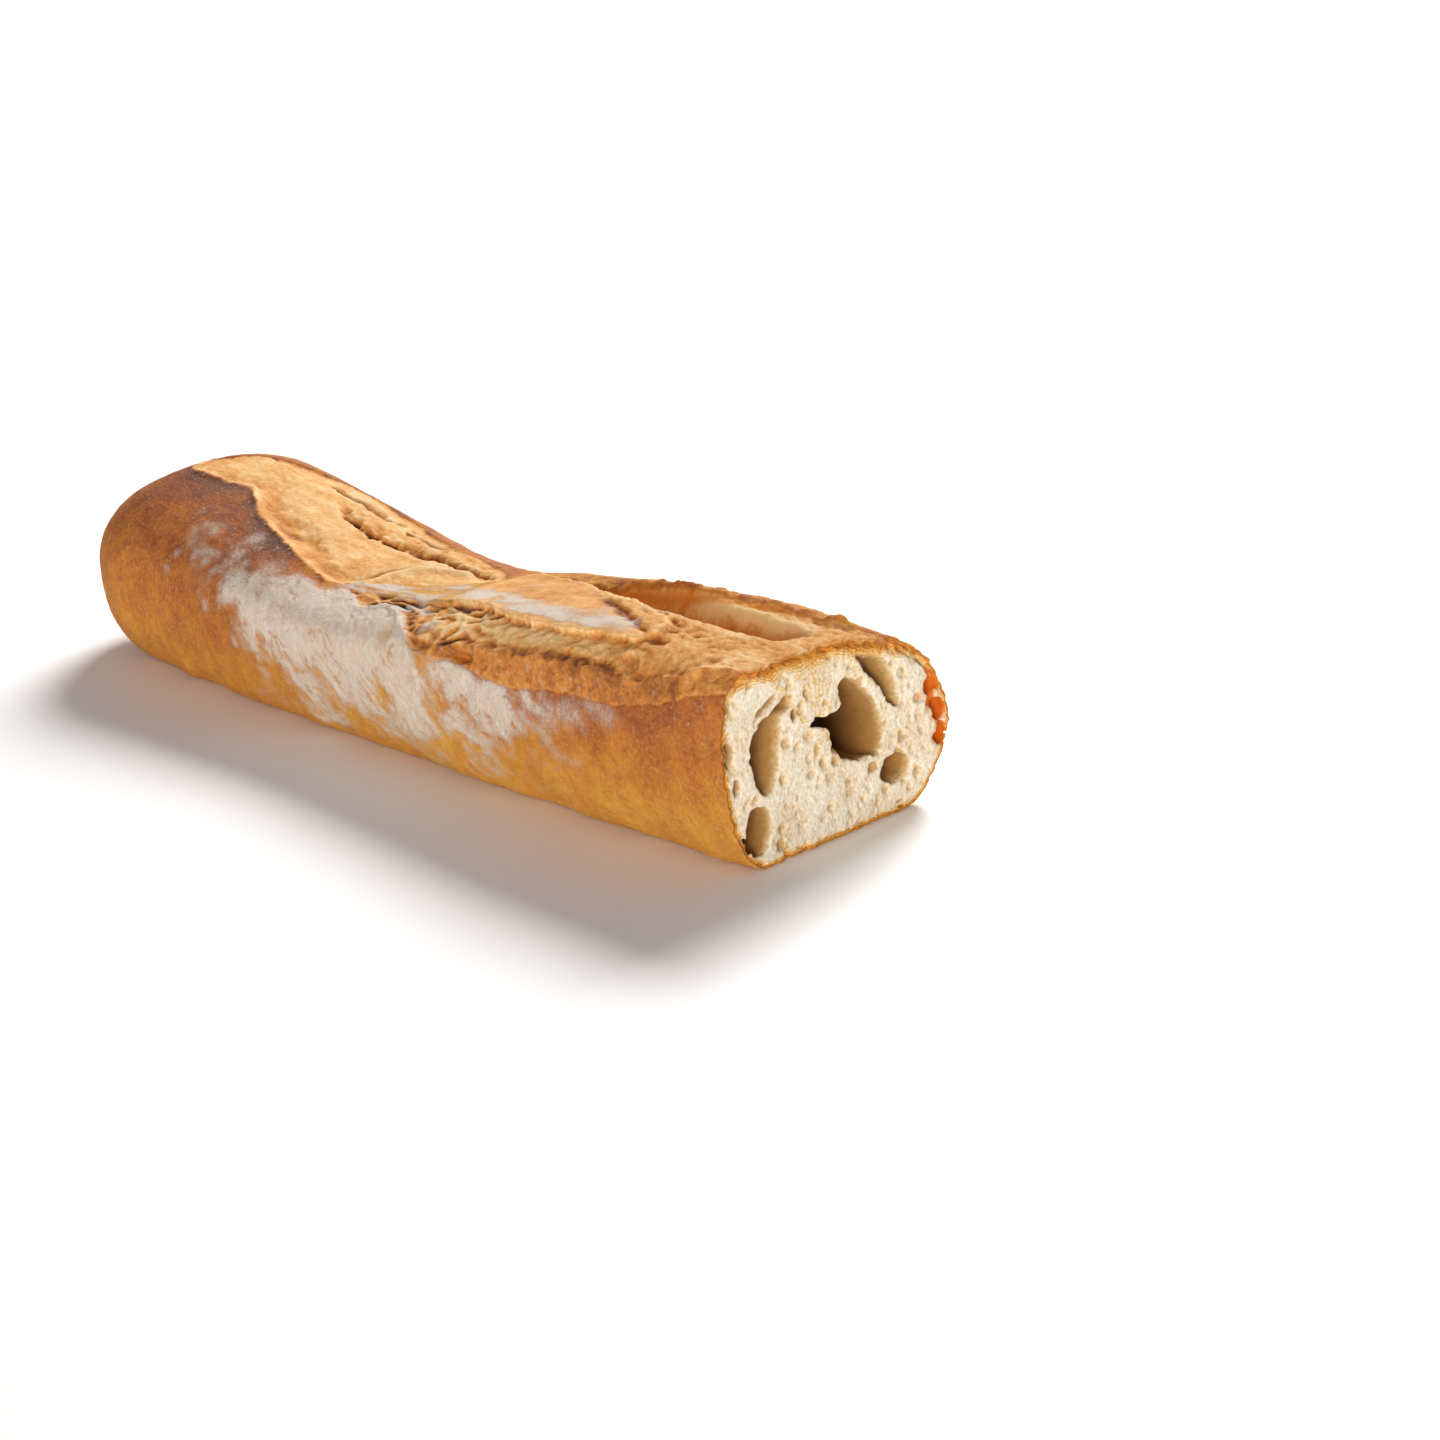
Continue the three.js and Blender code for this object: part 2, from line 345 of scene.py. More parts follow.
pits = ease(skin_noise(5.0, seed=33, layers=3, squash=(0.7, 1, 1)), -0.02, 0.2)
seam = hump(first_row, 2.0)
relief -= 2.9 * seam * pits
lens = hump(np.hypot((distance - 141) * 0.32, girth - 88.6), 1.5)
relief -= 2.4 * lens
second_line = along([(104, 76.5), (118, 77.4), (127, 79.4), (137, 80.2), (146.6, 78.1), (153.5, 77.4),
                     (159.5, 78.6), (164, 81), (170, 85)], distance)
behind = girth - second_line + 2.6 * ragged + 1.0 * fine_ragged
second_reach = far_open * between(distance, 104, 114, 160, 171)
torn_band = ease(skin_noise(3.4, seed=36, keep=0.6), -0.6, 0.2)
second_seam = hump(behind + 0.9, 1.2) * second_reach * torn_band
relief -= 1.8 * second_seam
strip = between(behind, -0.3, 1.0, 3, 10) * second_reach
relief += strip * (0.8 + 1.3 * skin_noise(3.0, seed=37, keep=0.65))

# A fold where the far score runs out under the strap
fold = gap_to([(134.5, 51), (132.6, 54), (132.8, 61), (129.6, 68.4), (123, 74), (116, 76)])
fold = fold + 0.6 * ragged
fold_lip = gap_to([(131.5, 52), (129.8, 61), (126.6, 67), (121, 71.6), (115, 73.4)])
relief -= 2.0 * hump(fold, 1.1) * far_open
relief += 1.3 * hump(fold_lip, 1.9) * far_open

# Near score: a torn lip, a scorched ridge inside it, and rough opened dough
relief -= 1.25 * near_open * near_fade * (1 - 0.9 * ledge)
lip_height = (0.25 + 0.4 * ease(distance, 84, 96)) * hump(in_near + 0.7, 1.0)
relief += lip_height * near_fade * (girth < near_lip + 3)
ridge_reach = between(distance, 2, 12, 80, 94)
ridge_line = girth - near_ridge + 1.0 * ragged
relief += (1.0 + 0.7 * fine_ragged) * hump(ridge_line, 1.2) * ridge_reach
relief -= 0.3 * hump(ridge_line + 3.6, 1.9) * ridge_reach
rough = skin_noise(4.5, seed=41, layers=5, keep=0.6, squash=(0.75, 1, 1))
torn_dough = 0.65 * rough + 0.45 * ridged(skin * (0.7, 1, 1), 3.6, seed=42, layers=4)
burst = near_open * ease(distance, 60, 84) * ease(girth, 37, 40)
cell_along = distance * 0.6 + 3.0 * noise(skin, 7, 45)
cell_round = girth + 0.25 * distance + 2.6 * noise(skin, 6, 46)
cell_wall, cell_draw = burst_cells(np.stack([cell_along, cell_round], -1), 4.4, seed=47)
cell_hollow = ease(cell_wall, 0.02, 0.8) * ease(cell_draw, 0.15, 0.7)
relief -= 1.5 * burst * cell_hollow * near_fade
wall_left = ease(ragged, -0.5, 0.2)      # where the walls between burst bubbles still stand
relief += 0.5 * burst * hump(cell_wall, 0.12) * wall_left
relief += 0.7 * fine_ragged * near_open * near_fade
relief += torn_dough * near_open * near_fade * (1 - 0.5 * burst) * (1 - 0.5 * ledge)
relief += 0.3 * skin_noise(2.4, seed=44, layers=3) * ledge
relief += 0.55 * tongue + 0.25 * tongue * skin_noise(4, seed=43, layers=3, squash=(0.5, 1, 1))
relief += 0.35 * hump(in_tongue - 0.6, 0.9) * tongue * (1 + 1.6 * skin_noise(6, seed=44, layers=2))

# The tongue's near end rolled over: a fold behind a crease, and a torn flap beside the groove
crease_gap = gap_to([(54, 68.5), (47, 65.5), (42, 63), (36, 60), (30, 57.6), (25, 56.6)])
crease_gap = crease_gap + 2.2 * ragged + 0.7 * fine_ragged
relief -= 1.1 * hump(crease_gap, 1.1)
curled = 1.6 * ragged + 0.8 * fine_ragged
roll_gap = gap_to([(58, 71.6), (50, 70.6), (43, 67.4), (37, 64.6), (31, 61.6), (26, 60)]) + curled
relief += (0.4 + 1.1 * ragged + 0.6 * fine_ragged) * hump(roll_gap, 3.4)
flap_gap = gap_to([(41, 70), (35, 68.8), (29, 68.6), (24, 70)]) + curled
relief += (0.4 + 0.9 * ragged + 0.6 * fine_ragged) * hump(flap_gap, 2.2)

# The groove under the back ear: steep on the ear's side, gentle towards the cut
groove_floor = along([(0, 82), (14, 80), (30, 79), (50, 80.5), (70, 81), (92, 81)], distance)
groove_depth = along([(0, 0), (7, 0.6), (12, 4.6), (24, 7.0), (45, 6.8), (62, 5.0), (78, 2.4),
                      (92, 0)], distance)
across = girth - groove_floor
near_bank = ease(across + torn * 0.8, -9, -1.5) * (1 - tongue)
far_bank = ease(across + 0.5 * ragged, 10.0, 4.2)
relief -= np.where(across < 0, near_bank, far_bank) * groove_depth
relief += 0.9 * hump(across + 11 + 0.8 * torn, 2.6) * ease(groove_depth, 1, 4) * (1 - tongue)
in_groove = between(across, -3, 0.5, 10, 12) * ease(groove_depth, 0.8, 3)
relief -= in_groove * 0.7 * torn_dough * near_open * near_fade
ear = hump(girth - ear_rim - 1.0, 2.2) * between(distance, 2, 10, 80, 96)
relief += ear * (1.0 + 2.0 * skin_noise(4.5, seed=52, keep=0.6))
back_torn = between(girth, 90, 98, 108, 122) * ease(distance, 100, 80)
relief += 0.55 * skin_noise(5, seed=53) * back_torn

# The brown nub of crust that the near score left beside the cut
nub = hump(np.hypot(distance - 7, (girth - 54) * 0.75), 5.5)
relief += nub * (0.7 + 1.2 * skin_noise(3.2, seed=51))

# A small deep hole in the lip, a curl in the opened dough, a crack and a crease in the side
hole = hump(np.hypot(distance - 78, (girth - 39) * 1.7), 2.3)
relief -= 3.6 * hole
curl = np.hypot((distance - 28.5) * 0.9, (girth - 48.6) * 1.15)
curl_turn = 0.55 + 0.45 * np.cos(np.arctan2(girth - 48.6, distance - 28.5) - 2.2)
relief += 0.9 * hump(curl - 2.5 - curl_turn, 0.7) * curl_turn - 0.7 * hump(curl, 1.2)
relief -= 1.1 * hump(distance - 46.6 - 0.5 * ragged, 0.55) * between(girth, 30, 32.5, 37, 39)
relief -= 0.8 * hump(girth - 13.5 + 0.35 * (distance - 75), 0.8) * hump(distance - 75, 4)

# Cracks in the caked flour of the wall, and small blisters on the bare skin
caked = between(distance, 70, 90, 140, 160) * ease(girth, 14, 24) * (girth < near_lip - 1)
slanted = np.stack([(distance - girth) * 0.7, (distance + girth) * 0.32, distance * 0], -1)
caked_cracks = ease(1 - 2.4 * np.abs(layered(slanted, 5, seed=48, layers=3, keep=0.6)), 0.82, 1.0)
relief -= 0.42 * caked_cracks * caked
relief += 0.16 * skin_noise(2.2, seed=49, layers=2)

# The relief dies away on the underside and at the tip of the rounded end
foot_girth = walked[:, -1:] - (along(BACK_FOOT, row_distance) - along(FRONT_FOOT, row_distance))[:, None]
underside = ease(girth, foot_girth - 6, foot_girth - 1) + ease(girth, 5, 0.5)
tip = ease(distance, LENGTH - 9, LENGTH - 1)
relief *= (1 - 0.8 * np.clip(underside, 0, 1)) * (1 - 0.75 * tip)


def blurred(layer, size):
    """The layer smoothed over a size in millimetres."""
    girth_step = walked[:, -1].mean() / COLUMNS
    along_rate = np.fft.fftfreq(len(layer), ROW_STEP)[:, None]
    round_rate = np.fft.rfftfreq(COLUMNS, girth_step)[None, :]
    keep = np.exp(-2 * (math.pi * size) ** 2 * (along_rate ** 2 + round_rate ** 2))
    return np.fft.irfft2(np.fft.rfft2(layer) * keep, layer.shape)


raised = relief - blurred(relief, 1.6)           # how far a spot stands above what is round it

# The body as a field of signed distances in millimetres, first of the dough form alone
VOXEL = 0.45
REACH = 8                              # how deep the field is known
shell_rows = np.concatenate([
    np.arange(-PAST_CUT, LENGTH - END_LENGTH, 2.0),
    LENGTH - END_LENGTH + END_LENGTH * np.sin(np.linspace(0, math.pi / 2, 26)[:-1]),
])
shell_rings = dough_rings(shell_rows, steps=24)[0]
rows, columns = shell_rings.shape[:2]
shell = np.zeros((rows, columns, 3))
shell[..., 0] = (CUT_X - shell_rows)[:, None]
shell[..., 1:] = shell_rings
cut_middle = shell[0].mean(0)
tip_middle = shell[-1].mean(0) - (0.02, 0, 0)
shell_points = np.concatenate([shell.reshape(-1, 3), [cut_middle, tip_middle]])
row_index, column_index = np.meshgrid(np.arange(rows - 1), np.arange(columns), indexing="ij")
this_column = row_index * columns + column_index
next_column = row_index * columns + (column_index + 1) % columns
quads = np.stack([this_column, next_column, next_column + columns, this_column + columns], -1)
quads = quads.reshape(-1, 4)
edge = np.arange(columns)
ends = np.concatenate([
    np.stack([np.full(columns, len(shell_points) - 2), (edge + 1) % columns, edge], -1),
    np.stack([np.full(columns, len(shell_points) - 1), edge, (edge + 1) % columns]
             + np.array([[0], [1], [1]]) * (rows - 1) * columns, -1),
])
grid_low = np.array([low_corner[0] / MM - 3, low_corner[1] / MM - 4, -2.0])
grid_high = np.array([CUT_X + 3, high_corner[1] / MM + 4, high_corner[2] / MM + 3])
grid_size = np.ceil((grid_high - grid_low) / VOXEL).astype(int)
dough = openvdb.FloatGrid.createLevelSetFromPolygons(
    (shell_points - grid_low).astype(np.float32),
    triangles=ends.astype(np.uint32),
    quads=quads.astype(np.uint32),
    transform=openvdb.createLinearTransform(voxelSize=VOXEL),
    halfWidth=REACH / VOXEL,
)
field = np.zeros(grid_size, np.float32)
dough.copyToArray(field)

# The relief moves the skin out and in
grid_x, grid_y, grid_z = [(low + VOXEL * np.arange(size)).astype(np.float32)
                          for low, size in zip(grid_low, grid_size)]
near_skin = np.nonzero(np.abs(field) < REACH * 0.99)
row, column = skin_place(grid_x[near_skin[0]], grid_y[near_skin[1]], grid_z[near_skin[2]])
field[near_skin] -= read_skin(relief, row, column)
skin_field = field.copy()              # how deep a point lies under the finished skin

# The bubbles that the knife opened, and the cut itself. An outline is across and up on the cut
# face; the bubble narrows to nothing at its depth, and drifts across and up as it goes in.
BUBBLES = [
    # depth, drift across and up per millimetre, outline
    (13, -0.34, -0.02, [(-26.6, 31.4), (-24.6, 33.2), (-22.0, 34.4), (-19.4, 36.2), (-16.6, 37.6),
                        (-14.0, 36.8), (-14.2, 34.9), (-17.0, 33.4), (-17.5, 29.2), (-17.8, 23.9),
                        (-18.6, 19.7), (-20.3, 17.0), (-22.6, 16.6), (-25.0, 19.1), (-26.7, 23.1),
                        (-27.6, 27.7)]),
    (5, -0.3, 0.1, [(-26.6, 32.8), (-25.0, 36.2), (-21.8, 38.4), (-18.4, 39.2), (-19.8, 37.4),
                    (-22.6, 35.7), (-25.2, 34.4)]),
    (17, -0.22, -0.08, [(-8.6, 28.6), (-5.8, 29.9), (-3.2, 29.4), (-0.6, 30.6), (0.4, 30.0), (1.6, 32.0),
                        (0.4, 35.0), (2.6, 36.6), (6.3, 35.6), (10.0, 32.7), (13.3, 29.1), (15.6, 25.2),
                        (16.5, 21.0), (16.0, 17.4), (14.0, 15.8), (11.4, 16.6), (8.4, 16.2), (4.8, 17.6),
                        (1.4, 18.2), (-1.0, 20.0), (-3.4, 21.6), (-2.2, 23.6), (-1.6, 25.6), (-4.2, 27.3)]),
    (11, -0.42, -0.25, [(6.6, 41.0), (10.6, 40.6), (15.6, 38.9), (18.3, 35.9), (20.0, 33.0), (21.4, 29.3),
                        (22.4, 25.8), (20.2, 26.0), (17.9, 27.9), (15.6, 30.4), (13.2, 33.4), (9.8, 36.9)]),
    (9, -0.3, 0.1, [(15.7, 9.9), (16.4, 12.3), (18.9, 13.8), (22.2, 14.0), (25.4, 12.4), (26.4, 10.2),
                    (24.0, 8.2), (19.7, 7.4)]),
    (10, -0.15, -0.1, [(-28.6, 11.1), (-28.0, 13.8), (-25.8, 15.0), (-22.6, 14.6), (-20.8, 11.4),
                       (-20.6, 7.4), (-22.2, 3.9), (-24.6, 3.3), (-27.0, 5.0), (-28.6, 8.0)]),
    (4, -0.2, 0.0, [(-35.2, 31.2), (-33.2, 31.0), (-32.4, 28.6), (-33.4, 26.0), (-35.0, 26.6)]),
    (4, -0.2, 0.0, [(-32.8, 23.0), (-31.2, 22.8), (-30.8, 20.6), (-32.0, 19.0), (-33.0, 20.4)]),
    (3, 0.0, 0.0, [(-14.9, 33.6), (-13.1, 33.8), (-12.7, 31.6), (-14.3, 31.2)]),
    (3, 0.0, 0.0, [(-11.0, 37.6), (-9.2, 37.2), (-9.4, 35.6), (-11.0, 35.8)]),
]


def outline_gap(outline, across, up):
    """How far inside a smooth closed outline each place lies, in millimetres; negative outside."""
    knots = np.array(outline)
    before, after, beyond = np.roll(knots, 1, 0), np.roll(knots, -1, 0), np.roll(knots, -2, 0)
    bends = []
    for t in (0, 0.25, 0.5, 0.75):
        bends.append(0.5 * (2 * knots + (after - before) * t
                            + (2 * before - 5 * knots + 4 * after - beyond) * t ** 2
                            + (3 * knots - 3 * after + beyond - before) * t ** 3))
    line = np.stack(bends, 1).reshape(-1, 2)
    nearest = np.full(across.shape, 1e9)
    inside = np.zeros(across.shape, bool)
    for (y0, z0), (y1, z1) in zip(line, np.roll(line, -1, 0)):
        run_y, run_z = y1 - y0, z1 - z0
        t = np.clip(((across - y0) * run_y + (up - z0) * run_z) / (run_y ** 2 + run_z ** 2), 0, 1)
        gap = (across - y0 - t * run_y) ** 2 + (up - z0 - t * run_z) ** 2
        nearest = np.minimum(nearest, gap)
        crosses = (z0 > up) != (z1 > up)
        inside ^= crosses & (across < y0 + (up - z0) * run_y / np.where(run_z == 0, 1e-9, run_z))
    return np.where(inside, 1, -1) * np.sqrt(nearest)


def larger(one, other, blend):
    """The larger of two fields, rounded where they meet. It takes a bubble out of the body."""
    mix = np.clip(0.5 + 0.5 * (other - one) / blend, 0, 1)
    return one + (other - one) * mix + blend * mix * (1 - mix)


def window_between(low, high):
    """The part of the field between two corners in millimetres, and the place of each cell."""
    start = np.maximum(((low - grid_low) / VOXEL).astype(int), 0)
    stop = np.maximum(np.minimum(((high - grid_low) / VOXEL).astype(int), grid_size), start)
    window = tuple(slice(i, j) for i, j in zip(start, stop))
    axes = [axis[part] for axis, part in zip((grid_x, grid_y, grid_z), window)]
    return window, np.stack(np.meshgrid(*axes, indexing="ij"), -1)


# Crust bulges and breaks at the back of the cut
bulge_y, bulge_z = np.meshgrid(grid_y - 38.5, grid_z - 18.5, indexing="ij")
bulge = hump(grid_x[:, None, None] - CUT_X, 7) * hump(bulge_y, 6)[None] * hump(bulge_z, 7)[None]
bulge = 1.3 * bulge.astype(np.float32)
field -= bulge
skin_field -= bulge

DEEPEST = 18                           # no bubble goes in as far as this
for depth_in, drift_across, drift_up, outline in BUBBLES:
    drift_end = np.array([drift_across, drift_up]) * depth_in
    low = np.min(outline, axis=0) + np.minimum(0, drift_end) - 2
    high = np.max(outline, axis=0) + np.maximum(0, drift_end) + 2
    window, places = window_between((CUT_X - DEEPEST, *low), (CUT_X + PAST_CUT, *high))
    flat_y, flat_z = places[0, ..., 1], places[0, ..., 2]
    widest = outline_gap(outline, flat_y, flat_z).max()
    layers = []
    for x in places[:, 0, 0, 0]:
        gone_in = max(0.0, CUT_X - x)
        closing = widest * (1 - math.sqrt(max(0.0, 1 - (gone_in / depth_in) ** 2)))
        past_end = max(0.0, gone_in - depth_in)
        reach_in = min(gone_in, depth_in)
        drifted = 2 * reach_in - reach_in ** 2 / depth_in
        gap = outline_gap(outline, flat_y - drift_across * drifted, flat_z - drift_up * drifted)
        layers.append(gap - closing - past_end)
    bubble = np.stack(layers) + 0.6 * layered(places, 3.4, seed=91, layers=3)
    middle, half = np.mean(outline, axis=0)[0], np.ptp(outline, axis=0)[0] / 2
    soft = 0.7 + 0.16 * depth_in * ease(flat_y, middle - 0.2 * half, middle + half)
    field[window] = larger(field[window], bubble, blend=soft[None])


def open_bubble(centre, radii, lean=0.0, blend=0.4):
    """Takes one round bubble out of the body."""
    reach = max(radii) + 1.5
    window, places = window_between(centre - reach, centre + reach + 2 * VOXEL)
    offset = places - centre
    turned_y = offset[..., 1] * math.cos(lean) + offset[..., 2] * math.sin(lean)
    turned_z = offset[..., 2] * math.cos(lean) - offset[..., 1] * math.sin(lean)
    away = np.sqrt((offset[..., 0] / radii[0]) ** 2 + (turned_y / radii[1]) ** 2
                   + (turned_z / radii[2]) ** 2)
    bubble = (1 - away) * min(radii) + 0.15 * noise(places, 1.6, 92)
    field[window] = larger(field[window], bubble, blend)


# Knobs of crumb that stand into the central bubble: how far in, across, up and radius
KNOBS = [(2.4, -3.0, 22.4, 2.6), (3.0, 0.2, 18.4, 2.6), (2.0, -0.4, 31.8, 2.4)]
for sunk_in, across, up, radius in KNOBS:
    middle = np.array([CUT_X - sunk_in, across, up])
    window, places = window_between(middle - 6, middle + 6)
    knob = np.linalg.norm(places - middle, axis=-1) - radius
    knob += 0.6 * layered(places, 2.6, seed=93, layers=2)
    field[window] = -larger(-field[window], -knob, blend=1.5)

# Bubbles just under the back crust, which let its orange light through
CRUST_BUBBLES = [(32.2, 27.0, 2.0, 2.5, 38), (35.6, 20.8, 2.2, 3.0, 16), (36.6, 14.8, 1.9, 2.8, -6)]
for across, up, half_width, half_height, lean in CRUST_BUBBLES:
    open_bubble(np.array([CUT_X, across, up]), (4.5, half_width, half_height), math.radians(lean))


def depth_at(place):
    """How deep a place lies under the finished skin, in millimetres."""
    cell = np.clip(((place - grid_low) / VOXEL).astype(int), 0, grid_size - 1)
    return -skin_field[tuple(cell)]


# Small bubbles between the large ones
pores = np.random.default_rng(29)
for _ in range(70):
    radius = pores.uniform(0.7, 1.8) * pores.uniform(0.6, 1)
    place = np.array([CUT_X + pores.uniform(-0.3, 0.5) * radius, pores.uniform(-37, 37),
                      pores.uniform(1.5, 47)])
    radii = radius * pores.uniform(0.7, 1.4, 3)
    if depth_at(place) > 1.4 + radius:
        open_bubble(place, radii, pores.uniform(0, math.pi))

# Flat pockets between the thin sheets that the crust is made of, most of them under the crown
cut_ring = skin[int(PAST_CUT / ROW_STEP), :, 1:]
for _ in range(260):
    turn = pores.uniform(0.22, 0.62) if pores.random() < 0.75 else pores.uniform(0, 1)
    on_ring = cut_ring[int(turn * COLUMNS)]
    run_y, run_z = cut_ring[int(turn * COLUMNS + 6) % COLUMNS] - on_ring
    tangent = math.atan2(run_z, run_y)
    sunk = pores.uniform(0.7, 2.6)
    long, thin = pores.uniform(0.5, 1.5), pores.uniform(0.22, 0.5)
    place = np.array([CUT_X - pores.uniform(-0.3, 0.5), on_ring[0] + math.sin(tangent) * sunk,
                      on_ring[1] - math.cos(tangent) * sunk])
    if depth_at(place) > 0.55 + thin:
        open_bubble(place, (pores.uniform(0.5, 1.4), long, thin), tangent, blend=0.3)

# The knife's face: the cells of the crumb, cut open, and the flat that the oven floor baked
face = np.stack(np.meshgrid(np.zeros(1), grid_y, grid_z, indexing="ij"), -1)
face_places = face[0, ..., 1:] + 0.9 * np.stack([noise(face, 3, 63)[0], noise(face, 3, 64)[0]], -1)
large_wall, large_draw = burst_cells(face_places, 3.4, seed=65)
small_wall, small_draw = burst_cells(face_places, 1.7, seed=66)
cell_pits = 1.5 * ease(large_wall, 0.0, 1.0) * ease(large_draw, 0.40, 1.0)
cell_pits += 0.4 * ease(small_wall, 0.0, 0.8) * ease(small_draw, 0.2, 1.0)
rim = ease(skin_field[int((CUT_X - 1 - grid_low[0]) / VOXEL)], -3.0, -0.8)
rim_crumbs = rim * layered(face, 1.9, seed=67, layers=3)[0] * (0.35 + 0.65 * ease(grid_z, 24, 38))
face_wave = 0.5 * layered(face, 12, seed=61, layers=2)[0] - 0.1
face_wave = face_wave - cell_pits * (1 - 0.6 * rim) + 1.9 * rim_crumbs
field = np.maximum(field, (grid_x[:, None, None] - CUT_X - face_wave[None]) * 0.8)
field = np.maximum(field, -grid_z[None, None, :])

# The field's surface becomes one closed mesh, without the bubbles that stay sealed inside it
BAND = 3.0                             # how far from the surface the field is kept
body = openvdb.FloatGrid(background=BAND)
body.transform = openvdb.createLinearTransform(voxelSize=VOXEL)
body.copyFromArray(np.clip(field, -BAND, BAND))
points, triangles, quads = body.convertToPolygons(isovalue=0.0, adaptivity=0.0)
points = points.astype(np.float64) + grid_low
faces = np.concatenate([quads[:, [0, 1, 2]], quads[:, [0, 2, 3]], triangles]).astype(np.int64)


def largest_piece(faces, count):
    """Faces of the largest joined body; closed bubbles inside and loose bits of crumb go."""
    label = np.arange(count)
    while True:
        least = label[faces].min(1)
        before = label.copy()
        for corner in range(3):
            np.minimum.at(label, faces[:, corner], least)
        label = label[label]
        if (label == before).all():
            break
    owner = label[faces[:, 0]]
    return faces[owner == np.bincount(owner).argmax()]


faces = largest_piece(faces, len(points))
used = np.unique(faces)
renumber = np.zeros(len(points), np.int64)
renumber[used] = np.arange(len(used))
points, faces = points[used], renumber[faces]
corners = points[faces]
volume = np.einsum("ij,ij->i", corners[:, 0], np.cross(corners[:, 1], corners[:, 2])).sum() / 6
if volume < 0:
    faces = faces[:, ::-1]

raw = bpy.data.meshes.new("loaf_crust_and_crumb")
raw.vertices.add(len(points))
raw.vertices.foreach_set("co", (points * MM).astype(np.float32).ravel())
raw.loops.add(len(faces) * 3)
raw.loops.foreach_set("vertex_index", faces.astype(np.int32).ravel())
raw.polygons.add(len(faces))
raw.polygons.foreach_set("loop_start", np.arange(0, len(faces) * 3, 3, dtype=np.int32))
raw.update(calc_edges=True)
loaf = bpy.data.objects.new("baked_loaf", raw)
bpy.context.collection.objects.link(loaf)
thinning = loaf.modifiers.new("thinning", "DECIMATE")
MOST_TRIANGLES = 190000
thinning.ratio = min(1, MOST_TRIANGLES / len(faces))
mesh = bpy.data.meshes.new_from_object(loaf.evaluated_get(bpy.context.evaluated_depsgraph_get()))
loaf.modifiers.clear()
loaf.data = mesh
mesh.name = "loaf_crust_and_crumb"
mesh.polygons.foreach_set("use_smooth", np.ones(len(mesh.polygons), bool))

# What the oven left on each place of the skin: its bake, from about 0 for pale to 1 for scorched.
# The painted shade and highlights of the opened dough join it further down.
below_crest = far_front - girth
tan_wall = 0.14 + 0.30 * ease(girth, 12, 34) * ease(distance, 104, 60)
bake_and_shade = np.where(girth < far_back, tan_wall, 0.45)
bake_and_shade += ease(distance, 100, 170) * (0.10 + 0.20 * ease(girth, 6, 40))
crest_burn = np.exp(-(np.maximum(below_crest, 0) / 17) ** 1.3) * between(distance, 134, 164, 205, 222)
bake_and_shade += 0.35 * crest_burn * (girth < far_back) * (0.9 + 0.6 * skin_noise(8, seed=74))
bake_and_shade = np.where(girth > far_back, 0.44 - 0.18 * ease(girth, 100, 140), bake_and_shade)
ear_skin = 0.29 - 0.22 * ease(girth, 96, 140) + 0.34 * skin_noise(5, seed=75)
bake_and_shade = np.where((distance < FAR_START) & (girth > ear_rim), ear_skin, bake_and_shade)
bake_and_shade += 0.10 * hump(near_lip - girth - 2.0, 3.5) * (girth < near_lip) * ease(distance, 96, 60)
bake_and_shade += 0.13 * skin_noise(13, seed=71, layers=5, keep=0.6, squash=(1, 1, 0.4))

# The same for the opened dough, from its pale middle to its scorched rims, with painted shade in its
# hollows, creases and pits and painted highlights on what stands up
rim_tone = ease(in_far, -1.7, -0.5) * ease(distance, 128, 146) + far_open * ease(distance, 146, 128)
far_tone = np.where(front_half, rim_tone, far_open)
tongue_tone = tongue * ease(distance, 108, 92)
opened = np.clip(far_tone + near_open + tongue_tone, 0, 1)
stands_up = np.clip(raised, -0.7, 0.7)
# Painted shade and highlight: the opened dough is darker where it lies lower than what is round it and
# lighter where it stands up
opened_bake_and_shade = 0.16 + 0.14 * rough + 0.18 * skin_noise(10, seed=72) - 0.30 * stands_up
# Painted shadow: a dark line under the raised edge of the tongue
opened_bake_and_shade += 0.10 * hump(in_tongue + 0.8, 0.8) * near_open * ease(distance, 30, 40)
# The burst dough is browner; in its hollows a painted shade, and on the standing walls between them a
# painted highlight
opened_bake_and_shade += burst * (0.16 + 0.20 * cell_hollow - 0.42 * hump(cell_wall, 0.14) * wall_left)
lip_band = near_open * hump(girth - near_lip - 2.2, 2.4) * ease(distance, 58, 84)
opened_bake_and_shade += lip_band * (0.26 + 0.3 * rough)
# Painted shadow in the crease under the rolled flap, painted highlights on the roll and along the tongue's
# edge
tongue_bake_and_shade = 0.28 + 0.36 * hump(crease_gap, 0.9) - 0.10 * hump(roll_gap, 1.6)
tongue_bake_and_shade += 0.18 * skin_noise(5, seed=45, squash=(0.3, 1, 1))
tongue_bake_and_shade -= 0.20 * hump(in_tongue - 0.5, 1.0)
opened_bake_and_shade = opened_bake_and_shade * (1 - tongue_tone) + tongue_bake_and_shade * tongue_tone
scorch = hump(ridge_line + 0.6, 2.2) * ridge_reach * (0.8 + 0.9 * skin_noise(5, seed=73))
opened_bake_and_shade += scorch * (0.22 + 0.36 * between(distance, 22, 34, 60, 76))
ledge_bake = 0.47 + 0.28 * skin_noise(3, seed=78, keep=0.65)
opened_bake_and_shade = opened_bake_and_shade * (1 - 0.85 * ledge) + 0.85 * ledge_bake * ledge
# Painted light: the band between the scorched ridge and the tongue is made paler
painted_light_band = ease(ridge_line, 1.0, 3.0) * ease(tongue_front - girth, -1, 1)
opened_bake_and_shade -= 0.12 * near_open * painted_light_band * between(distance, 26, 40, 84, 98) + 0.04 * in_groove
opened_bake_and_shade += 0.10 * near_open * ease(distance, 56, 40) * (1 - in_groove)
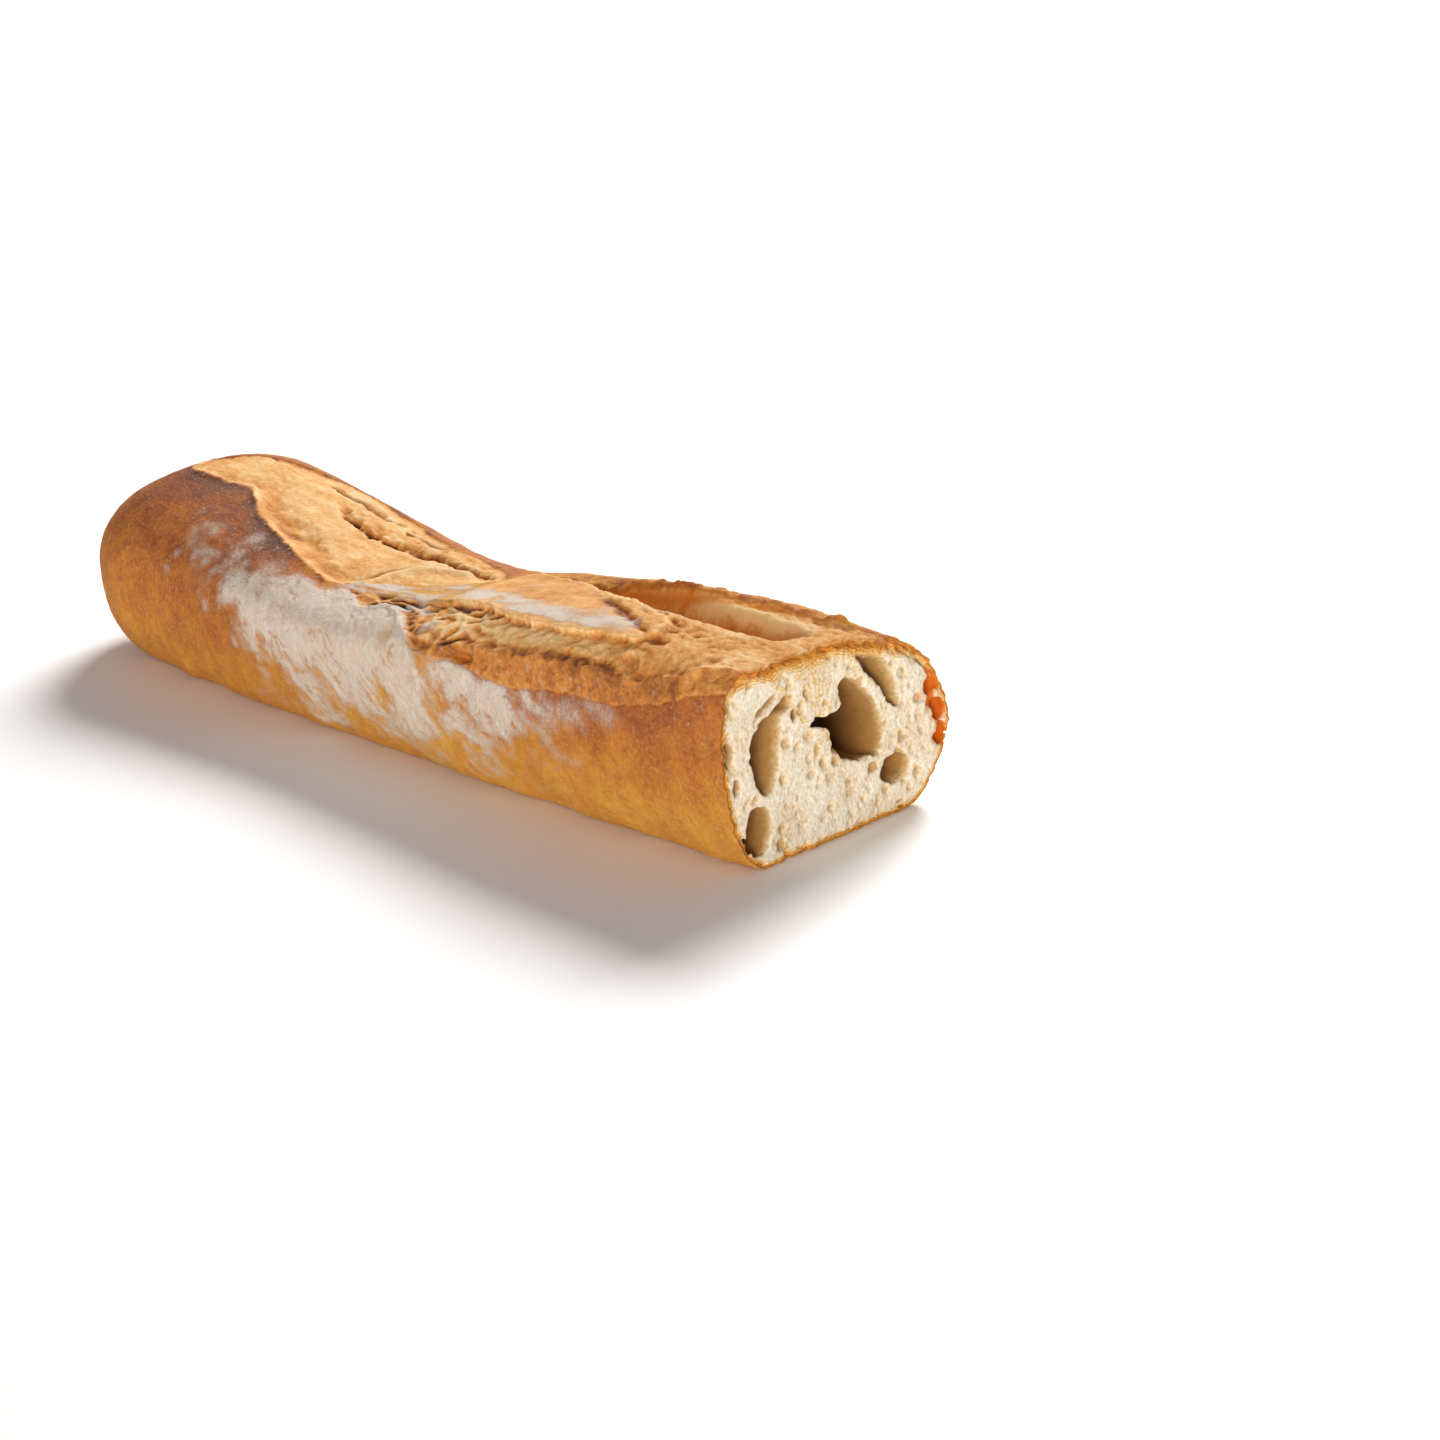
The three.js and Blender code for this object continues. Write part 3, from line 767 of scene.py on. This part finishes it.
# Painted shade: darker along the foot of the groove's far bank
groove_foot = hump(across - 3.4 + 0.5 * ragged, 0.9) * ease(groove_depth, 2, 5)
opened_bake_and_shade += 0.34 * groove_foot * (1 - tongue)
crest_rim = front_half * ease(distance, 126, 146)
opened_bake_and_shade += 0.16 * hump(in_far, 0.9) * crest_rim * (1 - crest_broken)
# Painted shade in the trough behind the far crest
opened_bake_and_shade += 0.24 * hump(in_far - 3.2, 2.4) * crest_rim * (0.7 + ragged)
# Painted shade: darker in the pits of the seam, in the lens-shaped hole and in the torn second seam
opened_bake_and_shade += 0.45 * seam * pits + 0.6 * lens + 0.60 * second_seam
opened_bake_and_shade += strip * (0.12 + 0.30 * skin_noise(3, seed=38))
# Painted shade in the fold where the far score runs out
opened_bake_and_shade += 0.70 * hump(fold, 1.2) * far_open
bake_and_shade = (bake_and_shade + 0.10 * stands_up) * (1 - opened) + opened_bake_and_shade * opened
bake_and_shade += nub * (0.5 * skin_noise(2.6, seed=77, layers=3) - 0.16)
crest_edge = hump(below_crest - 0.6, 3.2) * (below_crest > 0) * ease(distance, 126, 140)
bake_and_shade += 0.10 * crest_edge * (1 - opened)

# Flour from the bench and the couche, brushed and rubbed off in slanting drifts
dusty = skin_noise(12, seed=82, layers=3)
slant = np.stack([(distance - girth) * 0.75, (distance + girth) * 0.5, distance * 0], -1)
brushed = layered(slant, 3.6, seed=81, layers=5, keep=0.65)
patchy = layered(slant, 12, seed=84, layers=3)
streaks = skin_noise(3.2, seed=83, squash=(0.22, 1, 1))
flour = ease(distance + 12 * dusty, 30, 78) * ease(distance + 16 * dusty + 10 * brushed, 170, 140)
flour *= (0.44 + 0.54 * ease(girth + 9 * dusty, 9, 30)) * ease(girth, 2, 8) * (girth < 66)
flour *= 0.72 + 0.34 * ease(np.abs(distance - 116), 34, 12)
flour += (0.85 * patchy + 0.75 * brushed) * ease(flour, 0.04, 0.4) - 0.30 * caked_cracks
flour *= 1 - 0.8 * ease(girth, 46, 51) * ease(distance, 137, 131)
flour *= 1 - 0.85 * ease(below_crest + 2.5 * ragged, 6, 2) * ease(distance, 128, 137)
edge_dust = between(distance, 16, 40, 70, 92) * hump(near_lip - girth - 3.4, 5.0)
edge_dust *= 0.55 + 0.8 * skin_noise(5, seed=85, squash=(1, 1, 0.6))
strap_flour = between(distance, 84, 112, 132, 139) * ease(girth, 80, 66) * (girth > 40)
strap_flour *= 0.52 + 1.6 * streaks
crest_dust = between(distance, 136, 150, 176, 200) * hump(below_crest - 19, 10)
crest_dust *= 0.34 + 0.8 * skin_noise(4, seed=86)
flour = np.clip(flour, 0, 1) + 0.8 * edge_dust + 0.8 * strap_flour + crest_dust
FLOUR_SPOTS = [(162, 39, 3.4), (165, 45, 3), (177, 49.5, 2.6), (172, 40.5, 2), (153, 44, 4.4),
               (148, 30, 4), (166, 52, 3), (158, 23, 2), (182, 40, 1.6), (184, 36, 1.4),
               (168, 30, 1.8), (152, 36, 3)]
for spot_distance, spot_girth, size in FLOUR_SPOTS:
    gap = np.hypot(distance - spot_distance, (girth - spot_girth) * 0.8) + 0.8 * ragged
    flour = np.maximum(flour, 0.6 * hump(gap, size))
flour *= (1 - np.clip(far_open + near_open, 0, 1)) * (1 - tongue_tone)
tongue_flour = tongue_tone * ease(distance, 27, 42) * ease(in_tongue, 0.6, 3) * (0.95 + 1.0 * streaks)
tongue_flour *= 0.30 + 0.70 * ease(tongue_front + 9 + 5 * dusty - girth, -3, 3)
tongue_flour -= 0.9 * np.abs(patchy) * tongue_tone
wedge_specks = ease(distance, 80, 100) * ease(skin_noise(7, seed=87), 0.0, 0.3)
ledge_specks = ease(distance, 8, 20) * ease(skin_noise(2.2, seed=88, layers=3), 0.1, 0.5)
far_specks = ease(skin_noise(4, seed=89), 0.42, 0.6)
flour = np.maximum.reduce([flour, tongue_flour, 0.85 * burst * wedge_specks,
                           0.55 * ledge * ledge_specks, 0.5 * far_open * far_specks])
flour = np.clip(flour, 0, 1)

# Painted light: an orange glow where light comes through the thin rim of the back ear, and in the small
# hole in the lip
glow = hump(girth - ear_rim + 1.2, 1.0) * between(distance, 12, 22, 78, 92)
glow = np.maximum(glow, 0.9 * hole)
crust_thickness = 1.1 + 1.9 * between(girth, 42, 54, 104, 118)
crust_thickness *= 1 + 0.35 * skin_noise(5, seed=76, layers=2)

on_mesh = np.zeros(len(mesh.vertices) * 3, np.float32)
mesh.vertices.foreach_get("co", on_mesh)
on_mesh = on_mesh.reshape(-1, 3) / MM
row, column = skin_place(on_mesh[:, 0], on_mesh[:, 1], on_mesh[:, 2])


def read_field(values, places):
    """Value of a field between its cells."""
    cell = np.clip((places - grid_low) / VOXEL, 0, grid_size - 1.001)
    low = cell.astype(int)
    part = cell - low
    total = 0
    for corner in itertools.product((0, 1), repeat=3):
        weight = np.where(np.array(corner, bool), part, 1 - part).prod(-1)
        total = total + values[tuple((low + corner).T)] * weight
    return total


# Painted light: the glow of the ear's rim and the hole, and an orange glow in the crust bubbles at the cut
# where light comes through the thin crust
lit_through = read_skin(glow, row, column)
for across, up, *_ in CRUST_BUBBLES:       # a thin crust lets light into these from behind
    gap = np.linalg.norm(on_mesh - (CUT_X - 2, across, up), axis=1)
    behind_face = 0.35 + 0.65 * ease(CUT_X - on_mesh[:, 0], 0.3, 1.6)
    lit_through = np.maximum(lit_through, ease(gap, 5.2, 3.2) * behind_face)
under_skin = -read_field(skin_field, on_mesh)
coarse_skin = near_open * (1 - 0.8 * in_groove) + 0.3 * far_open
kept_values = {
    "depth": np.clip(under_skin / read_skin(crust_thickness, row, column), 0, 8),
    "under": np.clip(under_skin, 0, 8),
    "inward": np.clip(CUT_X - on_mesh[:, 0], 0, 14),
    "bake_and_shade": read_skin(bake_and_shade, row, column),
    "opened": read_skin(opened, row, column),
    "flour": read_skin(flour, row, column),
    "glow": lit_through,
    "coarse": read_skin(coarse_skin, row, column),
}
for name, values in kept_values.items():
    kept = mesh.attributes.new(name, "FLOAT", "POINT")
    kept.data.foreach_set("value", values.astype(np.float32))


def linear(code):
    """Linear colour, with alpha, of an sRGB hex value."""
    parts = [int(code[i:i + 2], 16) / 255 for i in (1, 3, 5)]
    return [c / 12.92 if c <= 0.04045 else ((c + 0.055) / 1.055) ** 2.4 for c in parts] + [1.0]


def add(kind, settings=(), sockets=(), give=0):
    """Adds a node with its settings. Each socket gets its own value or a link from another node's
    output, and one of the new node's outputs comes back."""
    node = tree.nodes.new("ShaderNode" + kind)
    for name, value in dict(settings).items():
        setattr(node, name, value)
    for socket, value in dict(sockets).items():
        if isinstance(value, bpy.types.NodeSocket):
            tree.links.new(value, node.inputs[socket])
        else:
            node.inputs[socket].default_value = value
    return node.outputs[give] if len(node.outputs) else None


def fill_ramp(ramp, stops):
    """Sets the places and colours of a ramp."""
    elements = ramp.node.color_ramp.elements
    while len(elements) < len(stops):
        elements.new(0.5)
    for element, (place, code) in zip(elements, stops):
        element.position = place
        element.color = linear(code)


# Baked wheat crust and crumb: matt, a little glossy where the crust is brown, gold to dark brown
# as it baked, with painted shade and highlights in the opened dough, chalky where flour lies on it;
# the crumb is cream, soft-edged and lets light in, with painted shade down in its bubbles, and a
# painted orange glow where a thin crust lets light through.
crust = bpy.data.materials.new("baked_wheat_crust_and_crumb")
crust.use_nodes = True
tree = crust.node_tree
tree.nodes.clear()
place = add("TexCoord", give="Object")
depth, under, inward, bake_and_shade_level, open_level, flour_level, glow_level, coarse = [
    add("Attribute", {"attribute_name": name}, give="Fac") for name in kept_values]

PER_MM = 1000.0                        # a pattern of one millimetre, in cycles to the metre
MULTIPLY = {"operation": "MULTIPLY"}
MULTIPLY_ADD = {"operation": "MULTIPLY_ADD"}
SMOOTH = {"interpolation_type": "SMOOTHSTEP"}
COLOURS = {"data_type": "RGBA"}

# Colour of the crust: its bake with its painted shade and highlights, mottled at 5 mm and at about
# 1 mm, and in streaks up the wall
mottle = add("TexNoise", (), {"Scale": PER_MM / 5, "Detail": 5, "Roughness": 0.62, "Vector": place})
grain = add("TexNoise", (), {"Scale": PER_MM / 1.1, "Detail": 4, "Roughness": 0.72, "Vector": place})
upward = add("Mapping", (), {"Scale": (1.0, 1.0, 0.3), "Vector": place})
streak = add("TexNoise", (), {"Scale": PER_MM / 4.5, "Detail": 4, "Roughness": 0.65, "Vector": upward})
bake_and_shade_here = bake_and_shade_level
for pattern, weight in ((mottle, 0.45), (grain, 0.62), (streak, 0.30)):
    bake_and_shade_here = add("Math", MULTIPLY_ADD, {0: pattern, 1: weight, 2: bake_and_shade_here})
bake_and_shade_here = add("Math", {"operation": "SUBTRACT"}, {0: bake_and_shade_here, 1: 0.69})
skin_ramp = add("ValToRGB", (), {"Fac": bake_and_shade_here})
fill_ramp(skin_ramp, [(0.0, "#dda548"), (0.25, "#cc8736"), (0.45, "#b46a31"), (0.62, "#94532f"),
                      (0.8, "#6f4330"), (1.0, "#4a2f29")])
open_ramp = add("ValToRGB", (), {"Fac": bake_and_shade_here})
fill_ramp(open_ramp, [(0.0, "#f2cb92"), (0.22, "#e4a862"), (0.45, "#c9803c"), (0.62, "#9c6034"),
                      (0.8, "#743f26"), (1.0, "#45261c")])

# Pale specks on the skin: pin blisters and grains of flour of about a millimetre, in drifts
speck = add("TexNoise", (), {"Scale": PER_MM / 0.9, "Detail": 3, "Roughness": 0.7, "Vector": place})
speck_here = add("MapRange", SMOOTH, {"From Min": 0.54, "From Max": 0.68, "Value": speck})
drift = add("MapRange", SMOOTH,
            {"From Min": 0.36, "From Max": 0.62, "To Min": 0.12, "To Max": 0.6, "Value": mottle})
speck_here = add("Math", MULTIPLY, {0: speck_here, 1: drift})
skin_colour = add("Mix", COLOURS, {0: speck_here, 6: skin_ramp, 7: linear("#d3a878")}, give=2)
open_edge = add("Math", MULTIPLY_ADD, {0: grain, 1: 0.15, 2: open_level})
open_edge = add("MapRange", SMOOTH, {"From Min": 0.42, "From Max": 0.72, "Value": open_edge})
crust_colour = add("Mix", COLOURS, {0: open_edge, 6: skin_colour, 7: open_ramp}, give=2)
# Painted light: an orange glow mixed into the crust where light comes through it
crust_glow = add("MapRange", SMOOTH,
                 {"From Min": 0.1, "From Max": 1.0, "To Max": 0.85, "Value": glow_level})
crust_colour = add("Mix", COLOURS, {0: crust_glow, 6: crust_colour, 7: linear("#dc862a")}, give=2)

# Bench flour, thick where it caked and broken up where it was rubbed off. Its grains, of a tenth of
# a millimetre, are too fine to show, so they are drawn as clumps of 0.8 mm.
dust = add("TexNoise", (), {"Scale": PER_MM / 0.8, "Detail": 5, "Roughness": 0.75, "Vector": place})
dust_here = add("Math", MULTIPLY_ADD, {0: dust, 1: 1.1, 2: flour_level})
dust_here = add("Math", MULTIPLY_ADD, {0: streak, 1: 0.35, 2: dust_here})
dust_here = add("MapRange", SMOOTH, {"From Min": 0.94, "From Max": 1.58, "Value": dust_here})
thin_veil = add("Math", MULTIPLY_ADD, {0: grain, 1: 0.5, 2: flour_level})
thin_veil = add("MapRange", SMOOTH,
                {"From Min": 0.40, "From Max": 1.0, "To Max": 0.45, "Value": thin_veil})
dust_here = add("Math", {"operation": "MAXIMUM"}, {0: dust_here, 1: thin_veil})
some_flour = add("MapRange", SMOOTH,
                 {"From Min": 0.02, "From Max": 0.25, "To Max": 0.94, "Value": flour_level})
dust_here = add("Math", MULTIPLY, {0: dust_here, 1: some_flour})
brushed_over = add("Mapping", (),
                   {"Rotation": (0.0, 0.6, 0.0), "Scale": (1.0, 0.6, 0.45), "Vector": place})
crease = add("TexNoise", (), {"Scale": PER_MM / 4.0, "Detail": 6, "Roughness": 0.7,
                              "Distortion": 0.4, "Vector": brushed_over})
crease = add("Math", {"operation": "SUBTRACT"}, {0: crease, 1: 0.5})
crease = add("Math", {"operation": "ABSOLUTE"}, {0: crease})
crease = add("MapRange", SMOOTH, {"From Min": 0.0, "From Max": 0.06, "To Min": 0.8, "Value": crease})
dust_here = add("Math", MULTIPLY, {0: dust_here, 1: crease})
crust_colour = add("Mix", COLOURS, {0: dust_here, 6: crust_colour, 7: linear("#e2d5c6")}, give=2)

# Crumb: cream where the knife met the cell walls, painted shade from tan to brown down in the
# bubbles and in the middles of fine pores, and gold in thin layers under the crust
pore = add("TexVoronoi", {"feature": "SMOOTH_F1"},
           {"Scale": PER_MM / 0.9, "Smoothness": 0.4, "Vector": place})
# Painted shade: darker the deeper the surface lies behind the cut, and in the middles of fine pores
bubble_shade = add("Math", MULTIPLY_ADD, {0: pore, 1: -0.9, 2: inward})
bubble_shade = add("Math", MULTIPLY_ADD, {0: bubble_shade, 1: 1 / 12, 2: 0.05})
crumb_ramp = add("ValToRGB", (), {"Fac": bubble_shade})
fill_ramp(crumb_ramp, [(0.0, "#f8eedb"), (0.05, "#e9d5b4"), (0.10, "#ccaa77"), (0.2, "#ad8147"),
                       (0.5, "#895e2d"), (0.95, "#5a3a18")])
layer_wave = add("Math", MULTIPLY_ADD, {0: mottle, 1: 5.0, 2: under})
layer_wave = add("Math", MULTIPLY, {0: layer_wave, 1: 8.0})
layer_wave = add("Math", {"operation": "SINE"}, {0: layer_wave})
under_crust = add("Math", MULTIPLY_ADD, {0: grain, 1: 1.3, 2: depth})
under_crust = add("Math", MULTIPLY_ADD, {0: layer_wave, 1: -0.28, 2: under_crust})
under_crust = add("MapRange", SMOOTH, {"From Min": 0.7, "From Max": 2.9, "Value": under_crust})
under_ramp = add("ValToRGB", (), {"Fac": under_crust})
fill_ramp(under_ramp, [(0.0, "#b96c22"), (0.3, "#d9953e"), (0.65, "#e8c078"), (1.0, "#f3dfb8")])
far_under = add("MapRange", SMOOTH, {"From Min": 0.5, "From Max": 0.95, "Value": under_crust})
crumb_colour = add("Mix", COLOURS, {0: far_under, 6: under_ramp, 7: crumb_ramp}, give=2)
# Painted light: the orange glow of light through the thin crust, mixed into the crumb
lit_through = add("MapRange", SMOOTH,
                  {"From Min": 0.1, "From Max": 0.8, "To Max": 0.94, "Value": glow_level})
crumb_colour = add("Mix", COLOURS, {0: lit_through, 6: crumb_colour, 7: linear("#d2660c")}, give=2)
in_crumb = add("MapRange", SMOOTH, {"From Min": 0.2, "From Max": 0.5, "Value": depth})
colour = add("Mix", COLOURS, {0: in_crumb, 6: crust_colour, 7: crumb_colour}, give=2)

# Height of the fine relief in millimetres, for the bump
skin_height = add("Math", MULTIPLY, {0: speck_here, 1: 0.16})
skin_height = add("Math", MULTIPLY_ADD, {0: grain, 1: 0.42, 2: skin_height})
skin_height = add("Math", MULTIPLY_ADD, {0: streak, 1: 0.6, 2: skin_height})
open_height = add("Math", MULTIPLY_ADD, {0: mottle, 1: 1.2, 2: grain})
open_strength = add("Math", MULTIPLY_ADD, {0: coarse, 1: 0.36, 2: 0.18})
open_height = add("Math", MULTIPLY, {0: open_height, 1: open_strength})
lift = add("Mix", {"data_type": "FLOAT"}, {0: open_level, 2: skin_height, 3: open_height})
caked_dust = add("Math", MULTIPLY, {0: dust_here, 1: dust})
lift = add("Math", MULTIPLY_ADD, {0: caked_dust, 1: 0.32, 2: lift})
crumb_height = add("Math", MULTIPLY_ADD, {0: grain, 1: 0.5, 2: pore})
on_face = add("MapRange", SMOOTH,
              {"From Min": 3.0, "From Max": 1.0, "To Min": 0.04, "To Max": 0.16, "Value": inward})
crumb_height = add("Math", MULTIPLY, {0: crumb_height, 1: on_face})
lift = add("Mix", {"data_type": "FLOAT"}, {0: in_crumb, 2: lift, 3: crumb_height})
bump = add("Bump", (), {"Strength": 1.0, "Distance": MM, "Height": lift})

roughness = add("MapRange", SMOOTH,
                {"From Min": 0.3, "From Max": 0.8, "To Min": 0.8, "To Max": 0.66, "Value": bake_and_shade_here})
chalky = add("MapRange", SMOOTH,
             {"From Min": 0.0, "From Max": 0.6, "To Min": 0.5, "To Max": 0.95, "Value": dust_here})
roughness = add("Math", {"operation": "MAXIMUM"}, {0: roughness, 1: chalky})
translucent = add("MapRange", SMOOTH, {"To Min": 0.04, "To Max": 0.25, "Value": in_crumb})
surface = add("BsdfPrincipled", (), {
    "Base Color": colour,
    "Roughness": roughness,
    "IOR": 1.4,
    "Specular IOR Level": 0.22,
    "Normal": bump,
    "Subsurface Weight": translucent,
    "Subsurface Radius": (1.0, 0.7, 0.4),
    "Subsurface Scale": MM,
})
add("OutputMaterial", (), {"Surface": surface})
mesh.materials.append(crust)

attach(loaf, "root")
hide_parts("loaf")

# ---------------------------------------------------------------------------------------------
# The stage: a sheet of white paper to lie on, a large soft window light behind the loaf, a
# reflector in front of it, and the camera
# ---------------------------------------------------------------------------------------------

bpy.ops.mesh.primitive_plane_add(size=6.0, location=(0, 0, 0))
floor = bpy.context.object
floor.name = "floor"
paper = bpy.data.materials.new("white_paper")
paper.use_nodes = True
paper.node_tree.nodes["Principled BSDF"].inputs["Base Color"].default_value = linear("#fbfaf9")
floor.data.materials.append(paper)

world = bpy.data.worlds.new("studio")
bpy.context.scene.world = world
world.use_nodes = True
world.node_tree.nodes["Background"].inputs["Color"].default_value = linear("#faf7f8")
world.node_tree.nodes["Background"].inputs["Strength"].default_value = 0.26


def soft_light(name, place, size, watts, colour):
    """A round soft light that looks at the loaf."""
    lamp = bpy.data.lights.new(name, "AREA")
    lamp.shape = "DISK"
    lamp.size = size
    lamp.energy = watts
    lamp.color = linear(colour)[:3]
    holder = bpy.data.objects.new(name, lamp)
    holder.location = place
    holder.rotation_euler = (Vector((0, 0, 0.02)) - Vector(place)).to_track_quat("-Z", "Y").to_euler()
    bpy.context.collection.objects.link(holder)


soft_light("window", (-0.97, 2.3, 1.98), 1.4, 136, "#ffffff")
soft_light("reflector", (1.32, -1.76, 0.28), 0.9, 38, "#fffaf5")
bpy.context.scene.view_settings.view_transform = "Standard"

CAMERA_PITCH = math.radians(20)
CAMERA_HEADING = math.radians(48)      # from the loaf's length towards its back
CAMERA_HEIGHT = 0.2779
CAMERA_BACK = 0.66994                  # level, from the foot of the cut's front edge
CAMERA_ASIDE = 0.0096
camera_data = bpy.data.cameras.new("camera")
camera_data.lens = 85
camera_data.sensor_width = 36
camera = bpy.data.objects.new("camera", camera_data)
cut_foot = Vector((CUT_X * MM, -0.0232, 0))
ahead = Vector((-math.cos(CAMERA_HEADING), math.sin(CAMERA_HEADING), 0))
aside = Vector((math.sin(CAMERA_HEADING), math.cos(CAMERA_HEADING), 0))
upright = Vector((0, 0, 1))
camera.location = cut_foot - ahead * CAMERA_BACK - aside * CAMERA_ASIDE + upright * CAMERA_HEIGHT
gaze = ahead * math.cos(CAMERA_PITCH) - upright * math.sin(CAMERA_PITCH)
camera.rotation_euler = gaze.to_track_quat("-Z", "Y").to_euler()
bpy.context.collection.objects.link(camera)
bpy.context.scene.camera = camera
